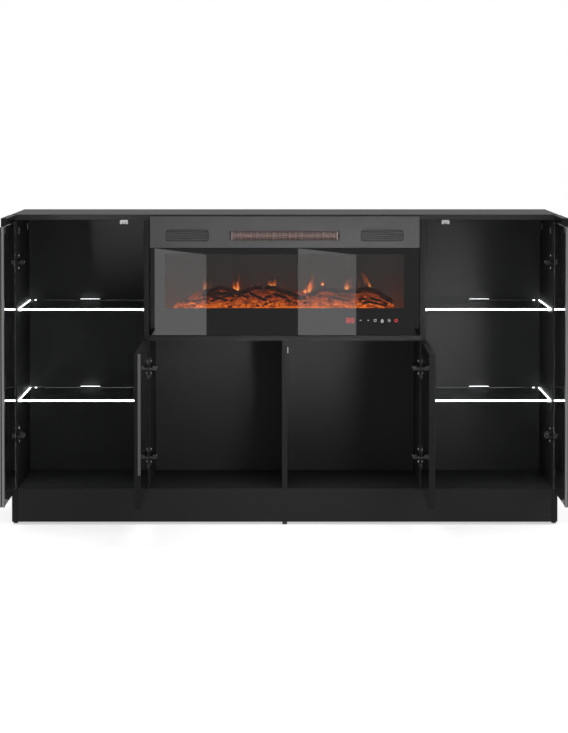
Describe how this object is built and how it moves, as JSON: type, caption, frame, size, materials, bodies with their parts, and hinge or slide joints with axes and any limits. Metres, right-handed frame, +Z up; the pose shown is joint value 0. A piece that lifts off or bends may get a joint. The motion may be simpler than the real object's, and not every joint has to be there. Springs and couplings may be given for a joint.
{
  "type": "electric fireplace sideboard",
  "caption": "Wide black sideboard with open doors, lit glass shelves in the side bays and an electric fireplace insert with heater vent above lower cupboards.",
  "frame": {"origin": "on the floor, midway across the width and midway between the carcass back and the free edges of the open inner doors", "axes": "+X along the width towards the viewer's right, +Y from the front towards the back, +Z up"},
  "size_m": [1.6092, 0.7968, 0.91],
  "materials": {
    "board": "black foil on chipboard, satin",
    "backing": "thin hardboard with a dark foil",
    "clear_glass": "clear, polished edges",
    "grey_plastic": "light grey",
    "hinge_metal": "nickel plated",
    "door_front": "black high gloss",
    "smoked_glass": "smoked, polished",
    "profile_metal": "satin anodised",
    "trim": "dark grey satin",
    "grille": "dark, warm brown",
    "black_glass": "black, polished",
    "casing": "black powder coat",
    "bright_steel": "bright",
    "heater": "bare, heat tinted",
    "screen": "smoked, diffusing",
    "ember": "translucent orange and charred brown",
    "black_plastic": "black"
  },
  "bodies": {
    "cabinet": {"top_panel": "board", "side_panel_left": "board", "side_panel_right": "board", "partition_left": "board", "partition_right": "board", "bottom_panel": "board", "plinth_front": "board", "plinth_back": "board", "centre_divider": "board", "fireplace_shelf": "board", "back_panel_left": "backing", "back_panel_right": "backing", "back_panel_centre": "backing", "glass_shelf_left_lower": "clear_glass", "glass_shelf_left_upper": "clear_glass", "glass_shelf_right_lower": "clear_glass", "glass_shelf_right_upper": "clear_glass", "led_clip_left_lower": "grey_plastic", "led_clip_left_upper": "grey_plastic", "led_clip_right_lower": "grey_plastic", "led_clip_right_upper": "grey_plastic", "door_catch_left": "grey_plastic", "door_catch_right": "grey_plastic", "hinge_arm_outer_left_lower": "hinge_metal", "hinge_arm_outer_left_upper": "hinge_metal", "hinge_arm_outer_right_lower": "hinge_metal", "hinge_arm_outer_right_upper": "hinge_metal", "hinge_arm_inner_left_lower": "hinge_metal", "hinge_arm_inner_left_upper": "hinge_metal", "hinge_arm_inner_right_lower": "hinge_metal", "hinge_arm_inner_right_upper": "hinge_metal", "vent_trim": "trim", "outlet_grille": "grille", "front_glass": "black_glass", "fireplace_casing": "casing", "blower_housing": "casing", "blower_motor": "bright_steel", "heater_element": "heater", "flame_screen": "screen", "ember_bed": "ember", "spindle_motor": "black_plastic"},
    "outer_door_left": {"door_panel_outer_left": "door_front", "door_glass_outer_left": "smoked_glass", "door_profile_outer_left": "profile_metal", "hinge_cup_outer_left_lower": "hinge_metal", "hinge_cup_outer_left_upper": "hinge_metal"},
    "outer_door_right": {"door_panel_outer_right": "door_front", "door_glass_outer_right": "smoked_glass", "door_profile_outer_right": "profile_metal", "hinge_cup_outer_right_lower": "hinge_metal", "hinge_cup_outer_right_upper": "hinge_metal"},
    "inner_door_left": {"door_panel_inner_left": "door_front", "grip_strip": "profile_metal", "hinge_cup_inner_left_lower": "hinge_metal", "hinge_cup_inner_left_upper": "hinge_metal"},
    "inner_door_right": {"door_panel_inner_right": "door_front", "hinge_cup_inner_right_lower": "hinge_metal", "hinge_cup_inner_right_upper": "hinge_metal"},
    "blower": {"blower_wheel": "bright_steel"},
    "flicker_spindle": {"flame_spindle": "bright_steel"}
  },
  "joints": [
    {"name": "outer_door_left_hinge", "type": "hinge", "parent": "cabinet", "child": "outer_door_left", "pos_m": [-0.7933, 0.0057, 0.1086], "axis": [0, 0, 1], "range_deg": [-10, 90]},
    {"name": "outer_door_right_hinge", "type": "hinge", "parent": "cabinet", "child": "outer_door_right", "pos_m": [0.7933, 0.0057, 0.1086], "axis": [0, 0, 1], "range_deg": [-90, 10]},
    {"name": "inner_door_left_hinge", "type": "hinge", "parent": "cabinet", "child": "inner_door_left", "pos_m": [-0.4056, 0.0057, 0.1086], "axis": [0, 0, 1], "range_deg": [-10, 90]},
    {"name": "inner_door_right_hinge", "type": "hinge", "parent": "cabinet", "child": "inner_door_right", "pos_m": [0.4056, 0.0057, 0.1086], "axis": [0, 0, 1], "range_deg": [-90, 10]},
    {"name": "blower_spin", "type": "hinge", "parent": "cabinet", "child": "blower", "pos_m": [0, 0.1044, 0.8478], "axis": [1, 0, 0], "continuous": true},
    {"name": "flicker_spin", "type": "hinge", "parent": "cabinet", "child": "flicker_spindle", "pos_m": [0, 0.1444, 0.6118], "axis": [1, 0, 0], "continuous": true}
  ]
}
